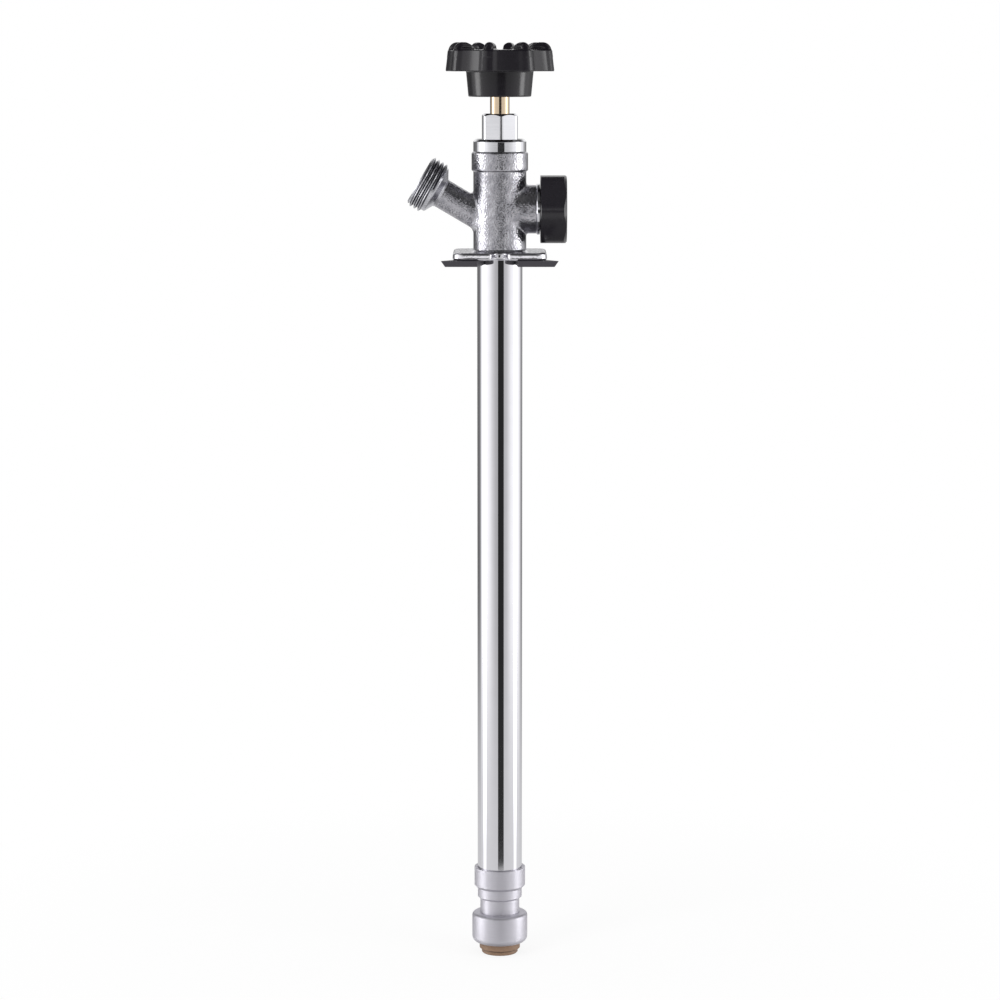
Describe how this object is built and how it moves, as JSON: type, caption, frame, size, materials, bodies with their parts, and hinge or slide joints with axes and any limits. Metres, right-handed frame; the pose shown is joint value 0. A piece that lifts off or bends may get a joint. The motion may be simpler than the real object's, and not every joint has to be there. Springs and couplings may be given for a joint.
{
  "type": "frost free sillcock",
  "caption": "Long frost free wall tap: hand wheel, angled hose outlet, capped vacuum breaker, wall flange with wedge, long tube and push fit inlet.",
  "frame": {"origin": "where the tube axis meets the wall, on the back face of the wall wedge", "axes": "+Z along the tube out of the wall to the hand wheel, spout to -X, vent cap to +X, -Y faces the viewer"},
  "size_m": [0.0778, 0.0528, 0.4546],
  "materials": {
    "cast_chrome": "chrome plate over fine cast texture",
    "polished_chrome": "mirror chrome plate",
    "satin_chrome": "satin chrome plate, turned",
    "brass": "bare machined brass",
    "pale_brass": "pale polished brass",
    "copper": "drawn copper tube",
    "spring_steel": "stainless",
    "zinc_screw": "zinc plated steel",
    "black_handle": "gloss black moulding",
    "black_cap": "gloss black moulding",
    "black_wedge": "satin black moulding",
    "white_plastic": "white moulding",
    "tan_plastic": "tan moulding",
    "rubber": "black rubber",
    "packing": "white sealing ring"
  },
  "bodies": {
    "housing": {"valve_body": "cast_chrome", "outer_tube": "polished_chrome", "wall_wedge": "black_wedge", "packing_nut": "polished_chrome", "packing_gland": "brass", "packing_ring": "packing", "packing_washer": "brass", "drive_nut": "brass", "end_fitting": "satin_chrome", "connector_shell": "satin_chrome", "inlet_seal": "rubber", "seal_spacer": "white_plastic", "grip_ring": "spring_steel", "grip_retainer": "white_plastic", "vent_seat": "brass", "vent_gasket": "rubber", "vent_cap": "black_cap"},
    "plunger": {"washer_holder": "brass", "seat_washer": "rubber", "washer_screw": "spring_steel"},
    "spindle": {"handwheel": "black_handle", "handle_screw": "zinc_screw", "handle_washer": "zinc_screw", "stem": "pale_brass", "stem_pin": "spring_steel", "operating_rod": "copper", "rod_guide": "white_plastic", "drive_screw": "brass", "swivel_ring": "spring_steel"},
    "vent_float": {"vent_float": "white_plastic", "vent_seal": "rubber"},
    "release_collar": {"release_collar": "tan_plastic"}
  },
  "joints": [
    {"name": "plunger_lift", "type": "slide", "parent": "housing", "child": "plunger", "axis": [0, 0, 1], "range_m": [0, 0.006]},
    {"name": "handle_turn", "type": "hinge", "parent": "plunger", "child": "spindle", "pos_m": [0, 0, 0.12], "axis": [0, 0, 1], "range_deg": [0, 720]},
    {"name": "vent_float_slide", "type": "slide", "parent": "housing", "child": "vent_float", "axis": [1, 0, 0], "range_m": [0, 0.0025]},
    {"name": "release_collar_push", "type": "slide", "parent": "housing", "child": "release_collar", "axis": [0, 0, 1], "range_m": [0, 0.002]}
  ],
  "couplings": [
    {"joint": "handle_turn", "follows": "plunger_lift", "rad_per_m": 2094.4}
  ]
}
